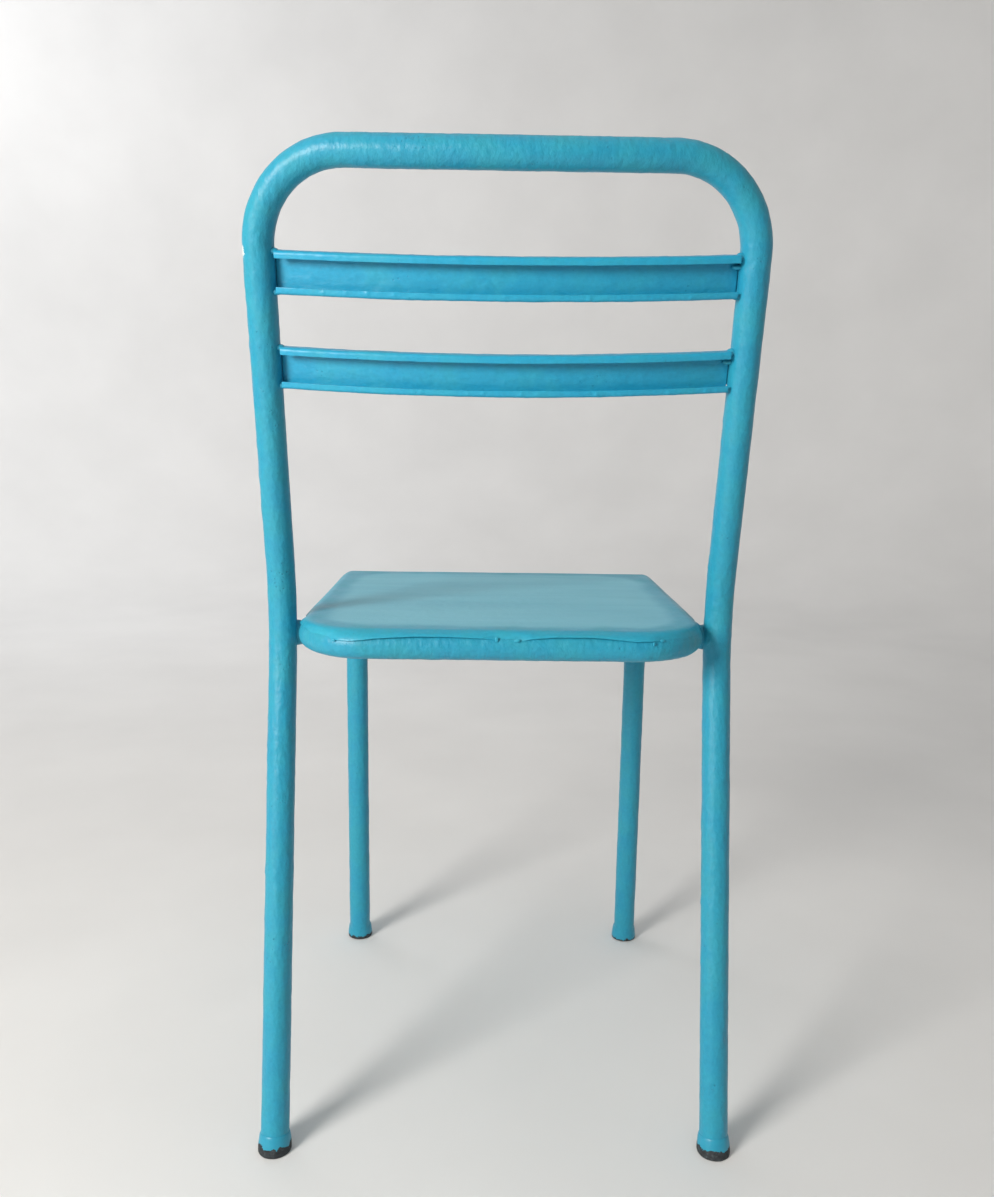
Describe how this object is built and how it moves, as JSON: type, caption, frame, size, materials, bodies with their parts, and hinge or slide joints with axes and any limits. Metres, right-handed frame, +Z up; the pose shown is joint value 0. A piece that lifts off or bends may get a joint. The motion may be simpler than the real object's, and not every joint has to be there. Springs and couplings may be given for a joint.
{
  "type": "metal cafe chair",
  "caption": "Old metal cafe chair: bent tube frame, pressed sheet seat on a tube hoop and bowed folded slats, under thick chipped turquoise paint.",
  "frame": {"origin": "on the floor, under the middle of the overall box", "axes": "+Z up, the seat's front towards -Y, +X to the sitter's left"},
  "size_m": [0.419, 0.4466, 0.8473],
  "materials": {
    "frame_paint": "thick brushed turquoise enamel over old paint, satin, chipped at the edges",
    "sheet_paint": "the same enamel on sheet steel, duller and dusty on the seat's top",
    "weld_paint": "lumpy welds under the same enamel",
    "foot_rubber": "worn black rubber with paint over its upper edge"
  },
  "bodies": {
    "root": {"back_frame": "frame_paint", "seat_frame": "frame_paint", "seat_pan": "sheet_paint", "upper_slat": "sheet_paint", "lower_slat": "sheet_paint", "foot_rear_left": "foot_rubber", "foot_rear_right": "foot_rubber", "foot_front_left": "foot_rubber", "foot_front_right": "foot_rubber", "seat_weld_left": "weld_paint", "seat_weld_right": "weld_paint", "upper_slat_welds": "weld_paint", "lower_slat_welds": "weld_paint", "rim_tacks": "weld_paint"}
  },
  "joints": []
}
